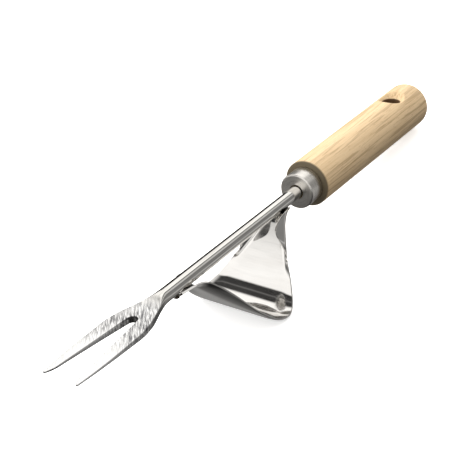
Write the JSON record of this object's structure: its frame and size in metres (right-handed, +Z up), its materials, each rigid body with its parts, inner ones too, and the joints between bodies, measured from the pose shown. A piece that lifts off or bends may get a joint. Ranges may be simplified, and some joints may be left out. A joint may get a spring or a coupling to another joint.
{
  "type": "hand weeding fork",
  "caption": "Hand weeding fork: forged two-tine fork on a round steel shank, pressed sheet lever fulcrum under it, steel ferrule, turned wooden handle with a hang hole.",
  "frame": {"origin": "centre of the bounding box in plan, on the surface the tool lies on, in its natural resting pose: on the fulcrum's bend and the rim of the butt", "axes": "+X towards the butt of the handle, tines at -X; +Y across the tines; +Z up. The tool's own axis leans 7.6 degrees down towards the butt."},
  "size_m": [0.3286, 0.056, 0.0571],
  "materials": {
    "beech": "smooth turned beech, thin clear lacquer",
    "ferrule_steel": "brushed stainless, turned lines on its face",
    "fork_steel": "ground and polished steel, cross scratches on the fork",
    "fulcrum_steel": "mirror polished stainless sheet",
    "weld_steel": "dark weld metal",
    "epoxy": "cured epoxy"
  },
  "bodies": {
    "root": {"handle": "beech", "ferrule": "ferrule_steel", "fork_shank": "fork_steel", "fulcrum_bracket": "fulcrum_steel", "front_weld": "weld_steel", "rear_weld": "weld_steel", "tang_adhesive": "epoxy"}
  },
  "joints": []
}
